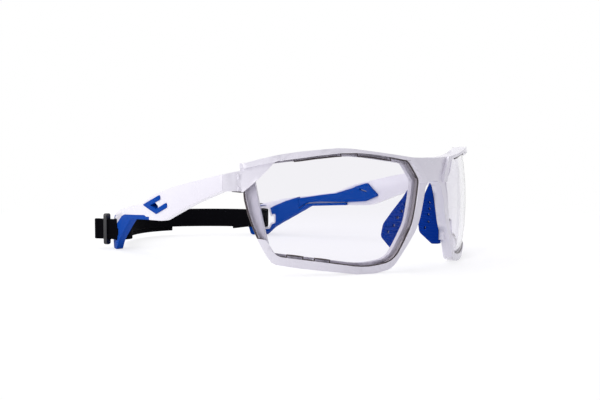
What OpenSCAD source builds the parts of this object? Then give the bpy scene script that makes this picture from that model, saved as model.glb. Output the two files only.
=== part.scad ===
// Wrap-round sports sunglasses: one front with two clear lenses, rubber nose pads,
// two folding temples with rubber pads and tip covers, and an elastic strap behind.
// The wearer looks along -Y, so +X is the wearer's left. The glasses stand on a table at z = 0.

/* [Front shape] */
// Radius of the front seen from above
wrap_r = 72.6; // [70:0.2:76]
// Radius of the front seen from the side
drop_r = 119; // [105:1:140]
// Height above the table at which the front bulges furthest
bulge_z = 24; // [20:0.5:28]
// Depth of the rim from its front face to its back
rim_depth = 4.4; // [4:0.1:5.2]
// Depth from the rim's front face to the lens seat
seat_depth = 2.9; // [2.7:0.1:3.2]
// Distance that the brow ridge stands proud of the rim
ridge_proud = 1.3; // [0.8:0.1:1.8]
// Distance from the middle of the front to the outer end of a rim
end_x = 64.86; // [64.6:0.02:65.2]
// Distance from the middle of the front to the outer edge of a lens at half its height
side_x = 63.31; // [63:0.01:63.4]
// Width of the ledge behind the edge of a lens
ledge_w = 1.2; // [1:0.1:1.8]

/* [Lenses] */
// Thickness of a lens
lens_t = 2; // [1.8:0.05:2.05]
// Distance of the lens behind the rim's front face
lens_sink = 0.8; // [0.7:0.05:0.85]
// Clearance round a lens in its rim
lens_gap = 0.15; // [0.1:0.01:0.2]
// Depth of the air vents cut in a lens edge
vent_d = 1; // [0.7:0.05:1.2]

/* [Nose pads] */
// Thickness of a nose pad
pad_t = 2.8; // [2.6:0.05:3.2]
// Thickness of the wing inside a nose pad
wing_t = 1.2; // [1:0.1:1.4]
// Distance from the edge of the wing to the edge of its pad
pad_cover = 1.6; // [1.4:0.1:1.8]
// Diameter of the air dimples in a nose pad
dimple_d = 1.1; // [0.8:0.1:1.4]

/* [Hinges] */
// Distance from the middle of the front to the outer face of a temple at its hinge
hinge_x = 68.6; // [68.2:0.1:69.2]
// Distance from the outer end of a rim back to the seam at the hinge
end_len = 4.82; // [4.6:0.02:5.4]
// Distance from the outer face of the temple to the hinge axis
axis_in = 5.6; // [5.4:0.1:5.9]
// Radius of the hinge knuckles
knuckle_r = 2.1; // [1.9:0.05:2.2]
// Radius of the hinge screw
screw_r = 0.8; // [0.6:0.05:0.95]
// Radial clearance of the hinge screw
screw_gap = 0.05; // [0.02:0.01:0.08]
// Height of the hinge above the table
hinge_z = 30.9; // [30.6:0.1:31.1]
// Height of the hinge from its lowest knuckle to its highest
hinge_h = 6.2; // [6:0.1:6.4]
// Height of the middle knuckle
mid_knuckle_h = 2.4; // [2:0.1:2.8]

/* [Temples] */
// Radius of a temple seen from above
temple_r = 235; // [220:1:250]
// Thickness of the white core of a temple at its hinge
core_t = 3.4; // [3:0.1:3.8]
// Angle at which a temple gets thinner towards its tip
taper = 0.9; // [0.6:0.05:1]
// Thickness of the rubber on the inner side
skin_t = 1.3; // [1.1:0.1:1.6]
// Thickness of the rubber band on the outer face
band_t = 0.9; // [0.7:0.05:1.1]
// Width of the rubber round the edge of the tip
wrap_w = 1.2; // [1:0.05:1.4]
// Width of the lines of the open arrow on the outer face
arrow_w = 1.9; // [1.6:0.1:2.1]
// Distance that the arrow stands proud of the outer face
arrow_proud = 0.25; // [0.1:0.05:0.4]

/* [Strap] */
// Width of the elastic strap
strap_w = 9.2; // [8.6:0.1:9.4]
// Thickness of the strap
strap_t = 0.8; // [0.7:0.05:0.9]
// Gap between the two layers of the strap
layer_gap = 0.1; // [0.08:0.01:0.15]
// Height of the strap's lower edge above the table
strap_z = 4.4; // [4:0.1:4.8]
// Straight length of the strap behind a temple tip
strap_lead = 11; // [10:0.5:15]
// Radius of the strap's bend in its slot
bend_r = 3.4; // [3.2:0.1:3.6]
// Angle of the strap's outer loop to the temple
loop_angle = 44; // [42:0.5:47]
// Length of the strap's outer loop beyond the temple
loop_len = 12; // [11.5:0.1:14]
// Radius of the round end of the outer loop
loop_r = 1.3; // [1.1:0.05:1.5]
// Distance of the strap's middle behind the seams at the hinges
strap_back = 132.2; // [128:0.2:136]
// Reach of the strap's curve behind its straight length
lead_pull = 12; // [8:0.5:16]
// Reach of the strap's curve on each side of its middle
back_pull = 16; // [12:0.5:24]
// Distance of the strap's slot behind the seam at the hinge, along the wearer's head
slot_back_y = 97.4; // [97:0.1:98]
// Distance from the middle of the slot back to the outer loop, along the temple
mouth_back = 1.6; // [1.4:0.05:1.8]
// Gap between the inner face of the tip and the strap
strap_inset = 3; // [2.6:0.1:3.4]
// Free end of the strap on the right, as a share of the way to the middle
right_tail = 1.22; // [0.3:0.01:1.5]
// Free end of the strap on the left, as a share of the way to the middle
left_tail = 0.14; // [0.05:0.01:0.97]

/* [Strap keepers] */
// Length of a keeper along the strap
keeper_len = 1.8; // [1.5:0.1:2]
// Wall of a keeper beside the strap
keeper_wall = 0.7; // [0.6:0.05:0.8]
// Length of a keeper above and below the strap
keeper_end = 2.4; // [2:0.1:2.6]
// Distance of a keeper from the outer face of the temple, along the strap
keeper_out = 4.7; // [4.5:0.1:5.2]

/* [Clearances] */
// Gap between bonded or snapped-in pieces
fit_gap = 0.05; // [0.03:0.01:0.08]
// Gap between pieces that move past each other
run_gap = 0.15; // [0.1:0.01:0.2]
// Gap between the strap and the edge of its slot
slot_gap = 0.35; // [0.25:0.05:0.5]

/* [Hidden] */
$fn = 96;
far = 200;
wrap_fn = 360;
arc_step = 9;
bend_steps = 10;
sweep_steps = 14;
loop_round = 130;
middle_share = 0.997;

white_plastic = [0.93, 0.92, 0.94];
blue_rubber = [0.04, 0.22, 0.62];
clear_plastic = [0.88, 0.9, 0.93, 0.35];
black_webbing = [0.05, 0.05, 0.06];
black_plastic = [0.1, 0.1, 0.11];
steel = [0.7, 0.7, 0.72];

// Outlines are corners [across, up, radius], counter-clockwise, for the wearer's left half.

// Outline of a lens seen from the front
lens_corners = [
  [63.9, 30.5, 0.8], [56.4, 42, 3], [37, 45.6, 60], [12.6, 41.8, 3], [8, 34.6, 3],
  [11.6, 18, 20], [18.8, 4.2, 8], [30, 2.5, 25], [56.4, 7.2, 3], [59.2, 13.4, 1], [61.6, 13.9, 0.6]
];
// Outline of the frame seen from the front, from under the bridge round to the top of the bridge
frame_corners = [
  [0, 33.9, 0], [2.6, 33.9, 2], [4.8, 32, 3], [8.9, 17, 20], [19.4, 1.3, 7], [29, -0.6, 20],
  [50, 2.6, 30], [58.4, 4.4, 5], [61.6, 9.8, 3], [62.2, 13.5, 0.6], [64, 30.6, 0.6],
  [64.6, 49, 0], [50, 47, 0], [36.5, 46.6, 40], [12, 43.1, 30], [0, 42.7, 0]
];
// Top edge of the rim's outer part, seen along the wearer's cheek from the front and outside
cheek_turn = 57;
top_line = [
  [30, 47, 1], [38, 46.3, 30], [47.2, 45.4, 40], [54.2, 44.3, 40], [61.3, 42.7, 30],
  [66, 41.4, 10], [90, 39.4, 0], [90, 60, 0], [30, 60, 0]
];
// Outer edge of lens and rim, seen square to the front's outer end
side_line = [
  [-30, 0.2], [-22.3, 1.4], [-14.9, 2.5], [-11, 3.4], [-8.4, 4.8], [-6.9, 6.9], [-5, 10.3],
  [-3.4, 13.6], [-1.5, 18.3], [0, 22.4], [0.7, 25], [1.4, 27.8], [1.8, 30.6], [40, 30.6], [40, -9], [-30, -9]
];
side_turn = asin(side_x / wrap_r);
// Line of the step under the brow ridge, from its outer end inward; part of it lies in the lens
ridge_line = [
  [70, 37.9], [64.4, 39.2], [62.4, 40.1], [58.7, 41.3], [56.3, 42.3], [54, 40.4], [20, 38.4],
  [12, 36], [10.6, 33.4], [5.6, 33.4], [6.1, 36.4], [11.2, 43], [14, 60]
];
// Open side of a lens, where its edge shows and the rim stands back
open_side = [[57, 13.95], [66, 13.95], [66, 30.4], [57, 30.4]];
// Inner edge of the rim's outer post, seen square to the front's outer end
post_line = [
  [-9.8, -5], [-7.6, 7], [-5.95, 14], [-4.05, 23.2], [-1.9, 33.3], [-0.8, 40], [30, 40], [30, -5]
];
// Vents in the edge of a lens: where each begins and ends across, and which edge it is in
vents = [[38.3, 51.6, 1], [20.3, 32.8, 1], [49.5, 53.6, 0], [41.9, 46.3, 0]];
lens_mid_z = 24;
// Angle round the head by which the hidden corner of a lens may pass the end of its rim
lens_past = 3.2;
// Angle round the head at which the rim ends
end_turn = asin(end_x / wrap_r);

// End piece that carries the hinge, seen from above
rim_end = [end_x, wrap_r * (1 - cos(end_turn))];
seam_y = rim_end[1] + end_len;
end_plan = [
  rim_end + [-3.6, -3.1], rim_end + [-0.38, 0.19], rim_end + [1.15, 1.66],
  rim_end + [2.4, 3.08], [hinge_x, seam_y], [hinge_x - 5.2, seam_y], rim_end + [-4.3, 0.2]
];
// End piece seen from the side
end_side = [
  [rim_end[1] - 7, hinge_z], [seam_y, hinge_z], [seam_y, hinge_z + hinge_h - 0.05],
  [seam_y - 3.3, hinge_z + hinge_h + 0.95], [rim_end[1] - 7, hinge_z + hinge_h + 3.1]
];

// Middle line of a nose pad seen from the front
pad_line = [[5.9, 33.4], [7, 27], [9.55, 21], [11.2, 17], [12.2, 13], [13.1, 7.4]];
// Outline of a nose pad seen from the side
pad_corners = [
  [0.5, 33, 0.5], [0.5, 8.6, 0.5], [9.6, 8, 1.4], [15.4, 12.4, 2.2], [15.2, 17.2, 4],
  [12.3, 22.4, 8], [7.2, 30.6, 2.5], [5.6, 33, 0.8]
];
// Depth to which the wing goes into the rim
wing_root = 0.4;
// Air dimples in a nose pad: back from the bridge and up
dimples = [[7, 25], [7.8, 22.4], [9, 20], [9.9, 17], [12.1, 14.4]];

// Outline of a temple seen from the side: back from the seam at the hinge, up, radius
temple_corners = [
  [run_gap, hinge_z + hinge_h, 0.3], [run_gap, hinge_z + 0.2, 0.3],
  [18, 25.4, 20], [39.8, 17.4, 12], [53.8, 16.9, 20], [73.6, 15.8, 5], [92.4, 4.6, 14],
  [97.2, 0, 1.2], [103.4, 0, 1.5], [104.8, 5, 6], [103.5, 12, 4], [99.6, 16, 4], [88.6, 18.9, 20],
  [60.2, 23, 6], [48.6, 27.4, 6], [29.3, 31.8, 40]
];
// Band of rubber on the outer face of the tip
band_area = [
  [52.6, -2], [52.6, 17.2], [57.4, 18.6], [81.7, 17.1], [86.7, 16], [94.7, 12.4], [101.2, 7.5],
  [109.2, 2.5], [109.2, -2]
];
// Part of the tip's edge that is wrapped in rubber
wrap_area = [[52.6, -2], [52.6, 18.4], [75.2, 17.2], [101.2, 15.2], [111.2, 15.2], [111.2, -2]];
// Rubber on the inner side of the tip
tip_skin_area = [
  [78.6, -2], [78.6, 20.3], [85.2, 18.1], [90.5, 15.8], [96.8, 12.4], [111.2, 9], [111.2, -2]
];
// Rubber pad on the inner side of the temple
pad_area = [
  [34.7, 22.3, 0.6], [42.2, 19.3, 1.5], [51.6, 18.5, 0.5], [67.2, 18.2, 8], [73.8, 17.6, 5],
  [78.4, 14.8, 0.3], [78.4, 19.6, 0.3], [66.6, 21.6, 8], [53.2, 23.4, 6], [47.2, 26.4, 3],
  [41.1, 28.3, 0.8]
];
// Open arrow on the outer face: its line from the upper end to the lower end
arrow_line = [[42.2, 26.8], [54.8, 22.9], [45.8, 20.8], [36.6, 24]];
// Hollow inside the arrow's point
arrow_hollow = [[51.8, 23], [45.2, 21.6], [43.8, 23], [46.8, 24.4]];
// Slit in the pad on the inner side
pad_slit = [[41.2, 24], [45.2, 25.2]];
slit_w = 0.7;

// The strap slot, worked out from the strap that passes through it
slot_turn = asin(slot_back_y / temple_r);
total_t = core_t + skin_t;
tip_core_t = core_t - slot_back_y * sin(taper);
tip_total_t = total_t - slot_back_y * sin(taper);
double_t = 2 * strap_t + layer_gap;
inner_v = tip_total_t + strap_inset + double_t / 2;
slot_back = (double_t / 2 + slot_gap) / sin(loop_angle) + mouth_back;
slot_front = bend_centre()[0] - bend_r - double_t / 2 - slot_gap;
window_len = 3;
window_z = 8.6;
window_h = 3.1;
window_drop = 0.6;
slot_corners = [
  [slot_front - window_len, window_z + window_h / 2, 0.8],
  [slot_front - window_len, window_z - window_h / 2, 0.8],
  [slot_front - 1.2, window_z - window_drop - window_h / 2, 0.9],
  [slot_front, strap_z - slot_gap, 0.7], [slot_back, strap_z - slot_gap, 0.7],
  [slot_back, strap_z + strap_w + slot_gap, 0.7], [slot_front, strap_z + strap_w + slot_gap, 0.7],
  [slot_front - 1.2, window_z - window_drop + window_h / 2, 0.9]
];
lip_w = 0.9;

strap_mid = strap_z + strap_w / 2;
along_temple = [-sin(slot_turn), cos(slot_turn)];
lead_start = slot_place([strap_lead, inner_v]);
ridge_tip = ridge_line[9];
ridge_tip_r = wrap_r - drop_r + sqrt(pow(drop_r + ridge_proud, 2) - pow(ridge_tip[1] - bulge_z, 2));
front_y = wrap_r - sqrt(pow(ridge_tip_r, 2) - pow(ridge_tip[0], 2));
strap_back_y = seam_y + strap_back;
middle_y = (front_y + strap_back_y + layer_half() + strap_t / 2) / 2;

// Middle of the bend that takes the strap through the slot
function bend_centre() =
  let (centre_v = inner_v - bend_r,
       touch_v = centre_v - bend_r * cos(loop_angle),
       touch_u = mouth_back - touch_v / tan(loop_angle))
  [touch_u + bend_r * sin(loop_angle), centre_v];
// Half the distance between the middles of the strap's two layers
function layer_half() = (strap_t + layer_gap) / 2;
// Place in plan of a point u along the temple's outer face and v inward from it, at the slot
function slot_place(p) =
  [hinge_x - temple_r + temple_r * cos(slot_turn) - p[0] * sin(slot_turn) - p[1] * cos(slot_turn),
   seam_y + slot_back_y + p[0] * cos(slot_turn) - p[1] * sin(slot_turn)];

function unit(v) = v / norm(v);
// Arc that rounds corner b between a and c
function corner_arc(a, b, c, r) =
  let (u = unit(a - b),
       w = unit(c - b),
       half = acos(u * w) / 2,
       reach = min(r / tan(half), norm(a - b) * 0.48, norm(c - b) * 0.48),
       real_r = reach * tan(half),
       centre = b + unit(u + w) * real_r / sin(half),
       from = b + u * reach - centre,
       to = b + w * reach - centre,
       a0 = atan2(from[1], from[0]),
       turn = (atan2(to[1], to[0]) - a0 + 540) % 360 - 180,
       n = max(2, ceil(abs(turn) / arc_step)))
  [for (i = [0:n]) centre + real_r * [cos(a0 + turn * i / n), sin(a0 + turn * i / n)]];
function flat(p) = [p[0], p[1]];
// Outline with each corner rounded to its own radius
function rounded(c) =
  let (n = len(c))
  [for (i = [0:n - 1])
    each c[i][2] > 0
      ? corner_arc(flat(c[(i + n - 1) % n]), flat(c[i]), flat(c[(i + 1) % n]), c[i][2])
      : [flat(c[i])]];
// Corners moved outward by d, or inward where d is negative
function grown(c, d) =
  let (n = len(c))
  [for (i = [0:n - 1])
    let (into = unit(flat(c[i]) - flat(c[(i + n - 1) % n])),
         out = unit(flat(c[(i + 1) % n]) - flat(c[i])),
         n1 = [into[1], -into[0]],
         n2 = [out[1], -out[0]],
         convex = into[0] * out[1] - into[1] * out[0] > 0 ? 1 : -1,
         place = flat(c[i]) + d * (n1 + n2) / (1 + n1 * n2))
    [place[0], place[1], max(0.1, c[i][2] + d * convex)]];
function backwards(p) = [for (i = [len(p) - 1:-1:0]) p[i]];
// Outline for both sides from the outline of one side that begins and ends in the middle
function both_halves(p) = concat(p, [for (q = backwards(p)) if (q[0] > 0.001) [-q[0], q[1]]]);
// Line moved sideways by d, to the left of its direction
function shifted(p, d) =
  let (n = len(p))
  [for (i = [0:n - 1])
    let (into = unit(p[max(i, 1)] - p[max(i, 1) - 1]),
         out = unit(p[min(i, n - 2) + 1] - p[min(i, n - 2)]),
         n1 = [-into[1], into[0]],
         n2 = [-out[1], out[0]])
    p[i] + d * (n1 + n2) / (1 + n1 * n2)];
// Outline of a ribbon of thickness t along a line of points
function ribbon(p, t) = concat(shifted(p, t / 2), backwards(shifted(p, -t / 2)));

// Solid between x0 and x1 whose outline is drawn back and up
module along_x(x0, x1) {
  translate([x0, 0, 0])
    rotate([90, 0, 90])
      linear_extrude(x1 - x0)
        children();
}

// Solid between y0 and y1 whose outline is drawn across and up
module along_y(y0, y1) {
  translate([0, y1, 0])
    rotate([90, 0, 0])
      linear_extrude(y1 - y0)
        children();
}

module both_sides() {
  children();
  mirror([1, 0, 0])
    children();
}

// Puts the middle of the whole object over the origin
module placed() {
  translate([0, -middle_y, 0])
    children();
}

module right_side() {
  mirror([1, 0, 0])
    children();
}

// Curved wall of the front, from a proud height to a depth behind the rim's face
module front_wall(proud, depth) {
  translate([0, wrap_r, 0])
    rotate_extrude($fn = wrap_fn)
      intersection() {
        translate([wrap_r - drop_r, bulge_z])
          difference() {
            circle(drop_r + proud, $fn = wrap_fn);
            circle(drop_r - depth, $fn = wrap_fn);
          }
        translate([wrap_r / 2, -far / 4])
          square([wrap_r, far]);
      }
}

// Piece of the front's wall inside an outline seen from the front
module front_piece(proud, depth) {
  intersection() {
    front_wall(proud, depth);
    along_y(-far / 20, wrap_r)
      children();
  }
}

// Everything further round than the square-cut outer end of the rim, or an angle past it
module beyond_end(past = 0) {
  translate([0, wrap_r, -1])
    rotate([0, 0, end_turn + past - 90])
      cube([far, far, far]);
}

// Opening that a lens drops into, wider at its open side
module lens_seat() {
  polygon(rounded(grown(lens_corners, lens_gap)));
  polygon(open_side);
}

// Opening through the ledge behind a lens, up to the rim's outer post
module ledge_opening() {
  difference() {
    front_piece(ridge_proud + 2, far / 5)
      polygon(rounded(grown(lens_corners, -ledge_w)));
    from_side()
      polygon(post_line);
  }
}

// Everything above the rim's top edge on its outer part
module above_top() {
  rotate([0, 0, cheek_turn])
    along_y(-far / 2, 0)
      polygon(rounded(top_line));
}

// Solid with an outline seen square to the front's outer end
module from_side() {
  translate([0, wrap_r, 0])
    rotate([0, 0, side_turn - 90])
      along_x(0, far)
        children();
}

// Everything outside the leaning outer edge of lens and rim
module beyond_side() {
  from_side()
    polygon(side_line);
}

module end_piece() {
  intersection() {
    linear_extrude(far)
      polygon(end_plan);
    along_x(far / 5, hinge_x)
      polygon(end_side);
  }
}

// Places for the knuckles: lower end and height
side_knuckle_h = (hinge_h - mid_knuckle_h) / 2 - run_gap;
low_knuckle = [hinge_z, side_knuckle_h];
mid_knuckle = [hinge_z + side_knuckle_h + run_gap, mid_knuckle_h];
top_knuckle = [hinge_z + hinge_h - side_knuckle_h, side_knuckle_h];
axis_x = hinge_x - axis_in;
axis_y = seam_y + 0.2;
swing_r = knuckle_r * sqrt(2) + 0.3;

// Knuckle with its root, which runs forward or back from the axis
module knuckle(place, root_from, root_to) {
  translate([axis_x, axis_y, place[0]]) {
    cylinder(r = knuckle_r, h = place[1]);
    translate([-knuckle_r, root_from, 0])
      cube([2 * knuckle_r, root_to - root_from, place[1]]);
  }
}

// Room for a knuckle to swing, a running gap taller than the knuckle
module knuckle_room(place) {
  translate([axis_x, axis_y, place[0] - run_gap])
    cylinder(r = swing_r, h = place[1] + 2 * run_gap);
}

module screw_bore(gap) {
  translate([axis_x, axis_y, hinge_z - 1])
    cylinder(r = screw_r + gap, h = hinge_h + 2);
}

head_r = screw_r + 0.7;
head_h = 0.6;

module screw_head_room(gap) {
  translate([axis_x, axis_y, hinge_z + hinge_h - head_h - gap])
    cylinder(r = head_r + gap, h = head_h + 1);
}

// Wing behind the rim that a nose pad is pushed on to
module nose_wing() {
  intersection() {
    along_y(rim_depth - wing_root, far / 5)
      polygon(ribbon(pad_line, wing_t));
    along_x(0, far / 5)
      polygon(rounded(grown(pad_corners, -pad_cover)));
  }
}

module front_frame() {
  color(white_plastic)
    difference() {
      union() {
        difference() {
          front_piece(ridge_proud, rim_depth)
            polygon(both_halves(rounded(frame_corners)));
          both_sides() {
            beyond_end();
            above_top();
            beyond_side();
          }
          front_piece(ridge_proud + 2, 0)
            polygon(both_halves(concat([[0, -far / 4], [far / 2, -far / 4]], ridge_line, [[0, far / 3]])));
        }
        both_sides() {
          end_piece();
          knuckle(low_knuckle, -5, 0);
          knuckle(top_knuckle, -5, 0);
        }
      }
      both_sides() {
        front_piece(ridge_proud + 2, seat_depth)
          lens_seat();
        ledge_opening();
      }
      both_sides() {
        knuckle_room(mid_knuckle);
        screw_bore(screw_gap);
        screw_head_room(screw_gap);
      }
      translate([-far / 2, -far / 2, -far])
        cube([far, far, far]);
    }
  color(white_plastic)
    both_sides()
      nose_wing();
}

// Outline of a lens with its vents cut away
module lens_outline() {
  difference() {
    polygon(rounded(lens_corners));
    for (v = vents)
      intersection() {
        translate([v[0], v[2] * lens_mid_z])
          square([v[1] - v[0], lens_mid_z]);
        difference() {
          polygon(rounded(grown(lens_corners, 1)));
          polygon(rounded(grown(lens_corners, -vent_d)));
        }
      }
  }
}

module lens() {
  color(clear_plastic)
    difference() {
      front_piece(-lens_sink, lens_sink + lens_t)
        lens_outline();
      beyond_side();
      beyond_end(lens_past);
    }
}

module nose_pad() {
  color(blue_rubber)
    difference() {
      intersection() {
        along_y(2, far / 5)
          polygon(ribbon(pad_line, pad_t));
        along_x(0, far / 5)
          polygon(rounded(pad_corners));
      }
      intersection() {
        along_y(2, far / 5)
          polygon(ribbon(pad_line, wing_t + 2 * fit_gap));
        along_x(0, far / 5)
          polygon(rounded(grown(pad_corners, -pad_cover + fit_gap)));
      }
      front_wall(ridge_proud, rim_depth + run_gap);
      for (d = dimples)
        along_x(0, far / 5)
          translate(d)
            circle(d = dimple_d);
    }
}

module hinge_screw() {
  color(steel) {
    translate([axis_x, axis_y, hinge_z + 0.1])
      cylinder(r = screw_r, h = hinge_h - head_h);
    translate([axis_x, axis_y, hinge_z + hinge_h - head_h])
      difference() {
        cylinder(r = head_r, h = head_h);
        translate([-head_r, -0.15, head_h / 2])
          cube([2 * head_r, 0.3, head_h]);
      }
  }
}

// Curved wall of a temple between two depths from its outer face
module temple_wall(outer, inner) {
  difference() {
    depth_cylinder(outer, far / 3);
    translate([0, 0, -1])
      depth_cylinder(inner, far);
  }
}

// Cylinder at a depth from a temple's outer face; the deep ones lean, so that the wall gets thinner
module depth_cylinder(depth, h) {
  lean = depth > band_t + fit_gap ? -taper : 0;
  translate([hinge_x, seam_y, -1])
    rotate([0, 0, lean])
      translate([-temple_r, 0, 0])
        cylinder(r = temple_r - depth, h = h, $fn = wrap_fn);
}

// Piece of a temple's wall inside an outline seen from the side
module temple_piece(outer, inner) {
  intersection() {
    temple_wall(outer, inner);
    translate([0, seam_y, 0])
      along_x(far / 10, hinge_x + 2)
        children();
  }
}

module temple_outline() {
  polygon(rounded(temple_corners));
}

// Edge of the tip that the rubber wraps, to a width
module tip_edge(w) {
  intersection() {
    difference() {
      temple_outline();
      polygon(rounded(grown(temple_corners, -w)));
    }
    polygon(wrap_area);
  }
}

// Prism through the temple at the strap slot, square to its face
module through_slot(corners, from, to) {
  translate(concat(slot_place([0, 0]), 0))
    rotate([0, 0, slot_turn])
      along_x(-to, -from)
        polygon(rounded(corners));
}

// Boss that carries the middle knuckle inside the temple's root
boss_len = 8.5;
module hinge_boss() {
  translate([0, 0, hinge_z + 0.2])
    linear_extrude(hinge_h - 0.4)
      polygon([
        [axis_x - knuckle_r, axis_y], [hinge_x - core_t + 0.5, axis_y],
        [hinge_x - core_t + 0.5, axis_y + boss_len], [axis_x + knuckle_r, axis_y + boss_len],
        [axis_x - knuckle_r, axis_y + 5]
      ]);
}

module temple() {
  color(white_plastic)
    difference() {
      union() {
        temple_piece(0, core_t)
          difference() {
            temple_outline();
            tip_edge(wrap_w + fit_gap);
          }
        through_slot(grown(slot_corners, lip_w), tip_core_t - 0.4, tip_total_t + 0.1);
        intersection() {
          hinge_boss();
          translate([0, seam_y, 0])
            along_x(axis_x - far / 4, hinge_x)
              temple_outline();
        }
        knuckle(mid_knuckle, 0, 5);
      }
      temple_piece(-1, band_t + fit_gap)
        polygon(band_area);
      temple_piece(-1, core_t + 1)
        polygon(ribbon(arrow_line, arrow_w + 2 * fit_gap));
      temple_piece(-1, core_t + 1)
        polygon(arrow_hollow);
      through_slot(slot_corners, -3, total_t + 3);
      knuckle_room(low_knuckle);
      knuckle_room(top_knuckle);
      screw_bore(screw_gap);
    }
}

// Rubber pad with the arrow that shows through the temple's window
module temple_pad() {
  color(blue_rubber) {
    difference() {
      temple_piece(core_t + fit_gap, total_t)
        polygon(rounded(pad_area));
      temple_piece(core_t - 1, total_t + 1)
        polygon(ribbon(pad_slit, slit_w));
    }
    temple_piece(-arrow_proud, core_t + skin_t / 2)
      polygon(ribbon(arrow_line, arrow_w));
  }
}

module tip_cover() {
  color(blue_rubber)
    difference() {
      union() {
        temple_piece(0, band_t)
          intersection() {
            temple_outline();
            polygon(band_area);
          }
        temple_piece(0, total_t)
          tip_edge(wrap_w);
        temple_piece(core_t + fit_gap, total_t)
          intersection() {
            temple_outline();
            polygon(tip_skin_area);
          }
      }
      through_slot(grown(slot_corners, lip_w + fit_gap), tip_core_t - 0.5, total_t + 3);
      through_slot(slot_corners, -3, total_t + 3);
    }
}

// Middle line of the doubled strap in plan, in the slot's own frame, from the outer loop inward
loop_dir = [cos(loop_angle), -sin(loop_angle)];
loop_side = [sin(loop_angle), cos(loop_angle)];
function loop_point(along, off) = [mouth_back, 0] + loop_dir * along + loop_side * off;
bend_line = [
  for (i = [0:bend_steps])
    let (a = 90 + loop_angle + (180 - loop_angle) * i / bend_steps)
    bend_centre() + bend_r * [cos(a), -sin(a)]
];
slot_line = [for (q = concat([loop_point(loop_len - 2.6 * loop_r, 0)], bend_line)) slot_place(q)];

// Curve from the straight part behind the slot to the middle of the back, and on to the other side
function sweep_point(t) =
  pow(1 - t, 3) * lead_start + 3 * pow(1 - t, 2) * t * (lead_start + lead_pull * along_temple)
    + 3 * (1 - t) * t * t * [back_pull, strap_back_y] + t * t * t * [0, strap_back_y];
function strap_point(t) =
  let (p = sweep_point(t > 1 ? 2 - t : t))
  [t > 1 ? -p[0] : p[0], p[1]];
function sweep_line(finish) =
  concat([for (t = [0:1 / sweep_steps:finish - 0.01]) strap_point(t)], [strap_point(finish)]);

// Round end of the outer loop, from one layer to the other
loop_line = [
  for (i = [0:2 * bend_steps])
    let (a = loop_round - 2 * loop_round * i / (2 * bend_steps))
    slot_place(loop_point(loop_len - loop_r + loop_r * cos(a), loop_r * sin(a)))
];

// Half of the strap, from its free end through the slot, round the loop and back to the middle
module strap_half(tail) {
  half = layer_half();
  tail_layer = shifted(concat(slot_line, sweep_line(tail)), -half);
  main_layer = shifted(concat(slot_line, sweep_line(middle_share)), half);
  color(black_webbing)
    translate([0, 0, strap_z])
      linear_extrude(strap_w)
        polygon(ribbon(concat(backwards(tail_layer), loop_line, main_layer), strap_t));
}

module strap_keeper() {
  inner_t = double_t + 2 * layer_gap;
  inner_h = strap_w + 2 * layer_gap;
  outer_t = inner_t + 2 * keeper_wall;
  outer_h = inner_h + 2 * keeper_end;
  color(black_plastic)
    translate(concat(slot_place(loop_point(keeper_out, 0)), strap_mid))
      rotate([0, 0, slot_turn - loop_angle])
        difference() {
          along_y(-keeper_len / 2, keeper_len / 2)
            polygon(rounded([
              [outer_t / 2, -outer_h / 2, 1.2], [outer_t / 2, outer_h / 2, 1.2],
              [-outer_t / 2, outer_h / 2, 1.2], [-outer_t / 2, -outer_h / 2, 1.2]
            ]));
          translate([-inner_t / 2, -keeper_len, -inner_h / 2])
            cube([inner_t, 2 * keeper_len, inner_h]);
        }
}

placed() front_frame();
placed() right_side() lens();  // right_lens
placed() lens();  // left_lens
placed() right_side() nose_pad();  // right_nose_pad
placed() nose_pad();  // left_nose_pad
placed() right_side() hinge_screw();  // right_hinge_screw
placed() hinge_screw();  // left_hinge_screw
placed() right_side() temple();  // right_temple
placed() temple();  // left_temple
placed() right_side() temple_pad();  // right_temple_pad
placed() temple_pad();  // left_temple_pad
placed() right_side() tip_cover();  // right_tip_cover
placed() tip_cover();  // left_tip_cover
placed() right_side() strap_keeper();  // right_strap_keeper
placed() strap_keeper();  // left_strap_keeper
placed() right_side() strap_half(right_tail);  // right_strap_half
placed() strap_half(left_tail);  // left_strap_half
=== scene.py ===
# %% [markdown]
# # Sports sunglasses, dressed for a product picture
#
# The solid model arrives as a fixed frame: every plastic, rubber and steel piece already has its
# real size and place. This lesson gives the pieces soft moulded edges, weaves the elastic strap,
# builds the finishes from nodes, and lights the glasses on a white table.

# %% Load the frame
import math

import bmesh
import bpy
from mathutils import Matrix, Vector


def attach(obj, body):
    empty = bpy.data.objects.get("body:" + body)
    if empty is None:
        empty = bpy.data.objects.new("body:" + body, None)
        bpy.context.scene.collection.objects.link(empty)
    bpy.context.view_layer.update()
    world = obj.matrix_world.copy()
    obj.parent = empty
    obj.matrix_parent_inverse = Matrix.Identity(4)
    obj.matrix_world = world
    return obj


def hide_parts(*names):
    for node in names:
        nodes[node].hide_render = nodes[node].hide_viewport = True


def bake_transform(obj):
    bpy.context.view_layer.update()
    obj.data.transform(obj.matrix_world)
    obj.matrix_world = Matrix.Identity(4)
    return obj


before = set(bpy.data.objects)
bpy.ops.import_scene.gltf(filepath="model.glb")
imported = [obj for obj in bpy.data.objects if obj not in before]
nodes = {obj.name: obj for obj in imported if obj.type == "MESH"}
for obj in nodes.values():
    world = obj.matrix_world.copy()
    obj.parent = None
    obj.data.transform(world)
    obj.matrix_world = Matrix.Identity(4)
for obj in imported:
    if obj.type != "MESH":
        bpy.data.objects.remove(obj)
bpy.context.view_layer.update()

# %% [markdown]
# ## The camera
#
# The glasses were photographed from the wearer's right, a little above the table, with a long lens.
# A camera is a place and three directions. Giving Blender the right, up and back directions as the
# columns of a matrix avoids guessing at angles.

# %% Camera
MM = 0.001
MIDDLE_Y = 88.5666                       # the solid model's origin lies this far behind the bridge


def place(x, y, z):
    """A point measured from the front of the bridge, in millimetres, as a point of the scene."""
    return Vector((x, y - MIDDLE_Y, z)) * MM


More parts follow.
